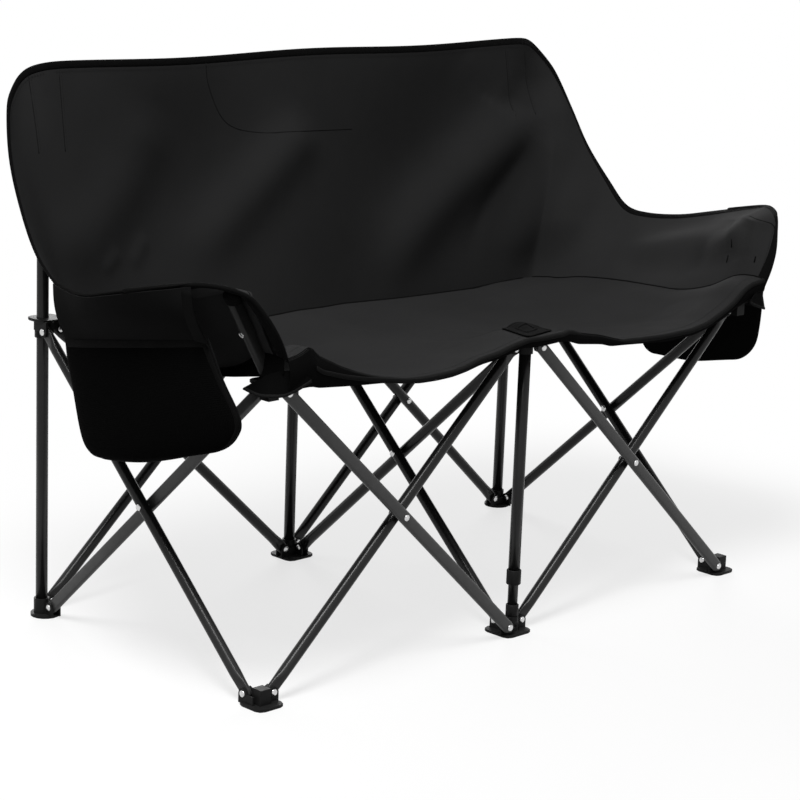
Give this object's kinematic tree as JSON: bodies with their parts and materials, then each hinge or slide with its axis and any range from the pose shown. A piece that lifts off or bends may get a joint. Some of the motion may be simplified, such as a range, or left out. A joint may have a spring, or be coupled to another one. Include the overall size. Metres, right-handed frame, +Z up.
{
  "type": "folding camping loveseat",
  "caption": "Folding two-seat camping chair: a scissor frame of steel tube on moulded feet, with a cloth sling for seat, back and arms, and hanging side pockets.",
  "frame": {"origin": "on the floor, under the middle of the chair's box", "axes": "+Z up, -Y to the front, +X to the right of someone who looks at the front"},
  "size_m": [1.329, 0.5838, 0.8612],
  "materials": {
    "powder_coat": "satin dark grey powder coat",
    "bare_steel": "bright zinc-plated steel",
    "moulded_plastic": "matt black moulded",
    "sling_cloth": "plain-weave coated polyester",
    "mesh_cloth": "fine open mesh"
  },
  "bodies": {
    "rear_centre": {"foot_rear_centre": "moulded_plastic", "post_rear_centre": "powder_coat", "cap_rear_centre": "moulded_plastic", "sleeve_rear_centre": "sling_cloth", "back_panel": "sling_cloth"},
    "side_centre_far": {"tube_side_centre_far": "powder_coat", "rivet_side_centre": "bare_steel"},
    "rear_left_near": {"tube_rear_left_near": "powder_coat", "rivet_rear_left": "bare_steel"},
    "rear_left_far": {"tube_rear_left_far": "powder_coat"},
    "slider_rear_left": {"slider_rear_left": "moulded_plastic"},
    "rear_left": {"foot_rear_left": "moulded_plastic", "post_rear_left": "powder_coat", "cap_rear_left": "moulded_plastic", "sleeve_rear_left": "sling_cloth", "arm_panel_left": "sling_cloth", "pocket_left": "mesh_cloth"},
    "slider_rear_centre": {"slider_rear_centre": "moulded_plastic"},
    "rear_right_far": {"tube_rear_right_far": "powder_coat", "rivet_rear_right": "bare_steel"},
    "rear_right_near": {"tube_rear_right_near": "powder_coat"},
    "slider_rear_right": {"slider_rear_right": "moulded_plastic"},
    "rear_right": {"foot_rear_right": "moulded_plastic", "post_rear_right": "powder_coat", "cap_rear_right": "moulded_plastic", "sleeve_rear_right": "sling_cloth", "arm_panel_right": "sling_cloth", "pocket_right": "mesh_cloth"},
    "side_centre_near": {"tube_side_centre_near": "powder_coat"},
    "hub_front_centre": {"hub_front_centre": "moulded_plastic", "post_front_upper": "powder_coat", "collar_front_upper": "moulded_plastic", "front_patch": "sling_cloth"},
    "foot_front_centre": {"foot_front_centre": "moulded_plastic", "post_front_lower": "powder_coat", "collar_front_lower": "moulded_plastic"},
    "front_left_near": {"tube_front_left_near": "powder_coat", "rivet_front_left": "bare_steel"},
    "front_left_far": {"tube_front_left_far": "powder_coat"},
    "hub_front_left": {"hub_front_left": "moulded_plastic", "arm_post_left": "powder_coat", "tab_front_left": "sling_cloth"},
    "foot_front_left": {"foot_front_left": "moulded_plastic"},
    "front_right_far": {"tube_front_right_far": "powder_coat", "rivet_front_right": "bare_steel"},
    "front_right_near": {"tube_front_right_near": "powder_coat"},
    "hub_front_right": {"hub_front_right": "moulded_plastic", "arm_post_right": "powder_coat", "tab_front_right": "sling_cloth"},
    "foot_front_right": {"foot_front_right": "moulded_plastic"},
    "side_left_far": {"tube_side_left_far": "powder_coat", "rivet_side_left": "bare_steel"},
    "side_left_near": {"tube_side_left_near": "powder_coat"},
    "side_right_far": {"tube_side_right_far": "powder_coat", "rivet_side_right": "bare_steel"},
    "side_right_near": {"tube_side_right_near": "powder_coat"},
    "seat_rear": {"seat_rear": "sling_cloth"},
    "seat_front": {"seat_front": "sling_cloth"}
  },
  "joints": [
    {"name": "fold", "type": "hinge", "parent": "rear_centre", "child": "side_centre_far", "pos_m": [0.0091, 0.24943, 0.017], "axis": [-1, 0, 0], "range_deg": [0, 44.5], "deforming": ["back_panel", "seat_rear", "seat_front", "arm_panel_left", "arm_panel_right", "pocket_left", "pocket_right"]},
    {"name": "foot_rear_centre_left", "type": "hinge", "parent": "rear_centre", "child": "rear_left_near", "pos_m": [-0.022, 0.26233, 0.017], "axis": [0, 1, 0], "range_deg": [0, 44.5]},
    {"name": "crossing_rear_left", "type": "hinge", "parent": "rear_left_near", "child": "rear_left_far", "pos_m": [-0.26, 0.27143, 0.237], "axis": [0, 1, 0], "range_deg": [-89, 0]},
    {"name": "top_rear_left", "type": "hinge", "parent": "rear_left_near", "child": "slider_rear_left", "pos_m": [-0.498, 0.26233, 0.457], "axis": [0, 1, 0], "range_deg": [-44.5, 0]},
    {"name": "foot_rear_left", "type": "hinge", "parent": "rear_left_far", "child": "rear_left", "pos_m": [-0.498, 0.28053, 0.017], "axis": [0, 1, 0], "range_deg": [0, 44.5]},
    {"name": "top_rear_centre", "type": "hinge", "parent": "rear_left_far", "child": "slider_rear_centre", "pos_m": [-0.022, 0.28053, 0.457], "axis": [0, 1, 0], "range_deg": [0, 44.5]},
    {"name": "foot_rear_centre_right", "type": "hinge", "parent": "rear_centre", "child": "rear_right_far", "pos_m": [0.022, 0.28053, 0.017], "axis": [0, 1, 0], "range_deg": [-44.5, 0]},
    {"name": "crossing_rear_right", "type": "hinge", "parent": "rear_right_far", "child": "rear_right_near", "pos_m": [0.26, 0.27143, 0.237], "axis": [0, 1, 0], "range_deg": [0, 89]},
    {"name": "top_rear_right", "type": "hinge", "parent": "rear_right_far", "child": "slider_rear_right", "pos_m": [0.498, 0.28053, 0.457], "axis": [0, 1, 0], "range_deg": [0, 44.5]},
    {"name": "foot_rear_right", "type": "hinge", "parent": "rear_right_near", "child": "rear_right", "pos_m": [0.498, 0.26233, 0.017], "axis": [0, 1, 0], "range_deg": [-44.5, 0]},
    {"name": "crossing_side_centre", "type": "hinge", "parent": "side_centre_far", "child": "side_centre_near", "pos_m": [0, 0.01143, 0.237], "axis": [1, 0, 0], "range_deg": [0, 89]},
    {"name": "top_front_centre", "type": "hinge", "parent": "side_centre_far", "child": "hub_front_centre", "pos_m": [0.0091, -0.22657, 0.457], "axis": [1, 0, 0], "range_deg": [0, 44.5]},
    {"name": "foot_front_centre", "type": "hinge", "parent": "side_centre_near", "child": "foot_front_centre", "pos_m": [-0.0091, -0.22657, 0.017], "axis": [1, 0, 0], "range_deg": [-44.5, 0]},
    {"name": "foot_front_centre_left", "type": "hinge", "parent": "foot_front_centre", "child": "front_left_near", "pos_m": [-0.022, -0.26132, 0.017], "axis": [0, 1, 0], "range_deg": [0, 44.5]},
    {"name": "crossing_front_left", "type": "hinge", "parent": "front_left_near", "child": "front_left_far", "pos_m": [-0.26, -0.24857, 0.237], "axis": [0, 1, 0], "range_deg": [-89, 0]},
    {"name": "top_front_left", "type": "hinge", "parent": "front_left_near", "child": "hub_front_left", "pos_m": [-0.498, -0.26132, 0.457], "axis": [0, 1, 0], "range_deg": [-44.5, 0]},
    {"name": "foot_front_left", "type": "hinge", "parent": "front_left_far", "child": "foot_front_left", "pos_m": [-0.498, -0.24307, 0.017], "axis": [0, 1, 0], "range_deg": [0, 44.5]},
    {"name": "foot_front_centre_right", "type": "hinge", "parent": "foot_front_centre", "child": "front_right_far", "pos_m": [0.022, -0.24307, 0.017], "axis": [0, 1, 0], "range_deg": [-44.5, 0]},
    {"name": "crossing_front_right", "type": "hinge", "parent": "front_right_far", "child": "front_right_near", "pos_m": [0.26, -0.24857, 0.237], "axis": [0, 1, 0], "range_deg": [0, 89]},
    {"name": "top_front_right", "type": "hinge", "parent": "front_right_far", "child": "hub_front_right", "pos_m": [0.498, -0.24307, 0.457], "axis": [0, 1, 0], "range_deg": [0, 44.5]},
    {"name": "foot_front_right", "type": "hinge", "parent": "front_right_near", "child": "foot_front_right", "pos_m": [0.498, -0.26132, 0.017], "axis": [0, 1, 0], "range_deg": [-44.5, 0]},
    {"name": "foot_side_left", "type": "hinge", "parent": "rear_left", "child": "side_left_far", "pos_m": [-0.51465, 0.24943, 0.017], "axis": [1, 0, 0], "range_deg": [-44.5, 0]},
    {"name": "crossing_side_left", "type": "hinge", "parent": "side_left_far", "child": "side_left_near", "pos_m": [-0.52, 0.01143, 0.237], "axis": [1, 0, 0], "range_deg": [0, 89]},
    {"name": "foot_side_right", "type": "hinge", "parent": "rear_right", "child": "side_right_far", "pos_m": [0.5291, 0.24943, 0.017], "axis": [1, 0, 0], "range_deg": [-44.5, 0]},
    {"name": "crossing_side_right", "type": "hinge", "parent": "side_right_far", "child": "side_right_near", "pos_m": [0.52, 0.01143, 0.237], "axis": [1, 0, 0], "range_deg": [0, 89]},
    {"name": "seat_fold_rear", "type": "hinge", "parent": "slider_rear_centre", "child": "seat_rear", "pos_m": [0, 0.20943, 0.441], "axis": [1, 0, 0], "range_deg": [0, 84.5]},
    {"name": "seat_fold_front", "type": "hinge", "parent": "hub_front_centre", "child": "seat_front", "pos_m": [0, -0.26857, 0.478], "axis": [1, 0, 0], "range_deg": [-84.5, 0]}
  ],
  "couplings": [
    {"joint": "foot_rear_centre_left", "follows": "fold", "ratio": 1},
    {"joint": "crossing_rear_left", "follows": "fold", "ratio": -2},
    {"joint": "top_rear_left", "follows": "fold", "ratio": -1},
    {"joint": "foot_rear_left", "follows": "fold", "ratio": 1},
    {"joint": "top_rear_centre", "follows": "fold", "ratio": 1},
    {"joint": "foot_rear_centre_right", "follows": "fold", "ratio": -1},
    {"joint": "crossing_rear_right", "follows": "fold", "ratio": 2},
    {"joint": "top_rear_right", "follows": "fold", "ratio": 1},
    {"joint": "foot_rear_right", "follows": "fold", "ratio": -1},
    {"joint": "crossing_side_centre", "follows": "fold", "ratio": 2},
    {"joint": "top_front_centre", "follows": "fold", "ratio": 1},
    {"joint": "foot_front_centre", "follows": "fold", "ratio": -1},
    {"joint": "foot_front_centre_left", "follows": "fold", "ratio": 1},
    {"joint": "crossing_front_left", "follows": "fold", "ratio": -2},
    {"joint": "top_front_left", "follows": "fold", "ratio": -1},
    {"joint": "foot_front_left", "follows": "fold", "ratio": 1},
    {"joint": "foot_front_centre_right", "follows": "fold", "ratio": -1},
    {"joint": "crossing_front_right", "follows": "fold", "ratio": 2},
    {"joint": "top_front_right", "follows": "fold", "ratio": 1},
    {"joint": "foot_front_right", "follows": "fold", "ratio": -1},
    {"joint": "foot_side_left", "follows": "fold", "ratio": -1},
    {"joint": "crossing_side_left", "follows": "fold", "ratio": 2},
    {"joint": "foot_side_right", "follows": "fold", "ratio": -1},
    {"joint": "crossing_side_right", "follows": "fold", "ratio": 2},
    {"joint": "seat_fold_rear", "follows": "fold", "ratio": 1.8989},
    {"joint": "seat_fold_front", "follows": "fold", "ratio": -1.8989}
  ]
}
